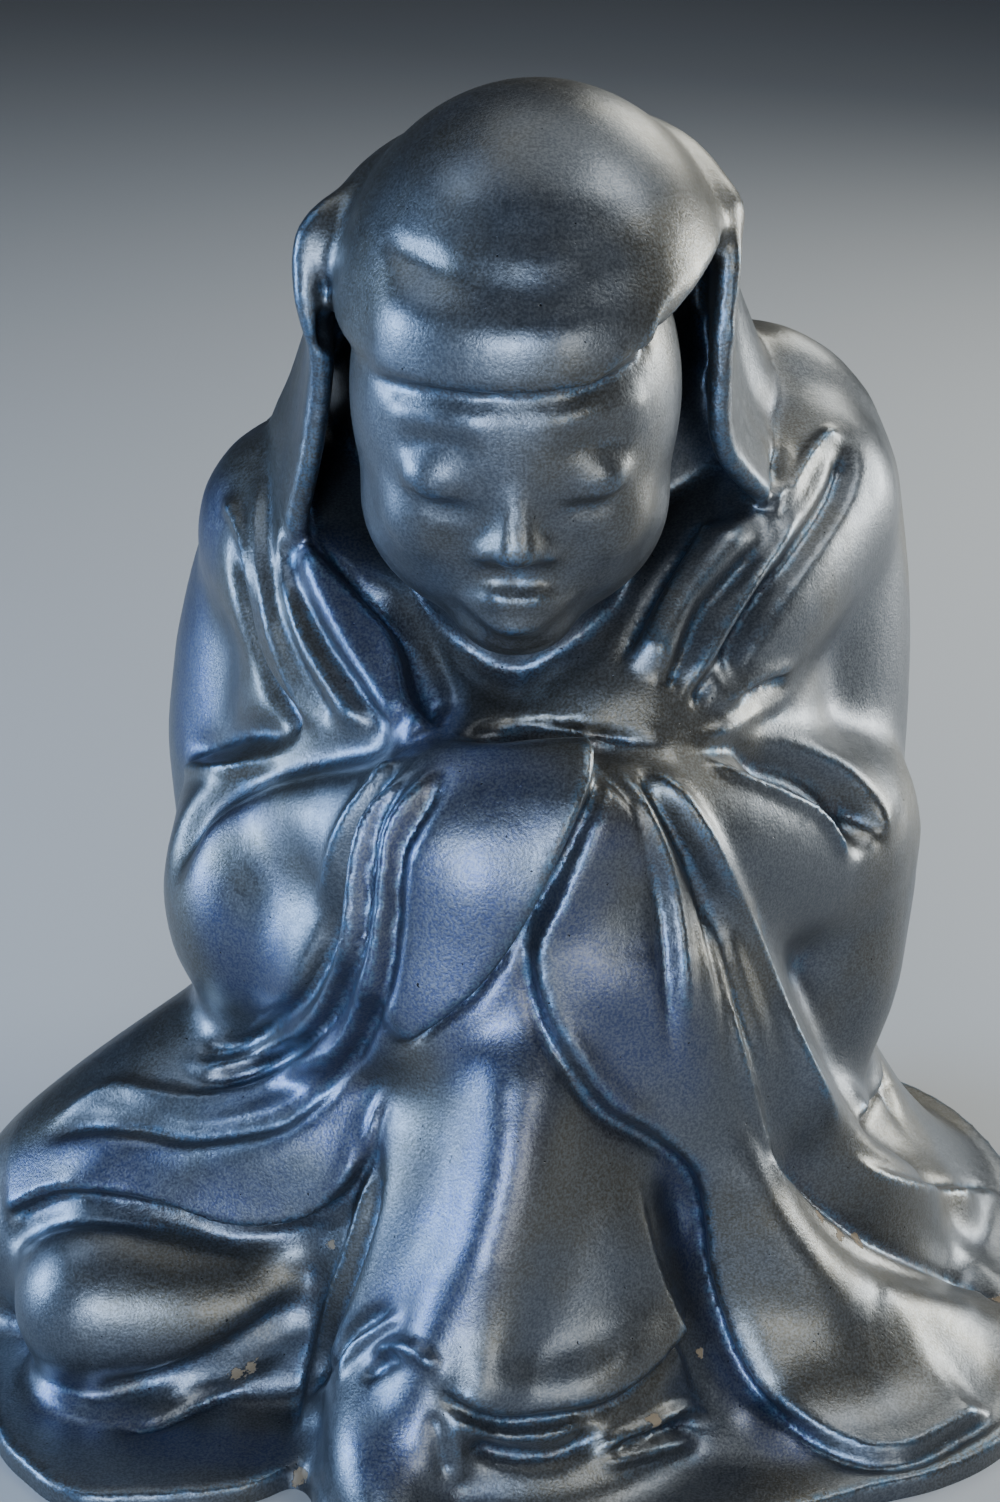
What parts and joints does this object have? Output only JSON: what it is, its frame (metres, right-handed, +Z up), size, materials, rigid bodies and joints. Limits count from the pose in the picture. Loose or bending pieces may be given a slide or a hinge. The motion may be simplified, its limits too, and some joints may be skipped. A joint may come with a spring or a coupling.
{
  "type": "bodhidharma statue",
  "caption": "Glazed ceramic statue of a seated monk in a hooded robe, head bowed over hands that rest in their sleeves on a raised knee.",
  "frame": {"origin": "middle of the footprint's box, on the surface that the statue stands on", "axes": "+Z up, -Y the way the figure looks, +X to the right of someone who faces it"},
  "size_m": [0.1594, 0.145, 0.18],
  "materials": {
    "dark_glaze": "satin"
  },
  "bodies": {
    "root": {"statue": "dark_glaze"}
  },
  "joints": []
}
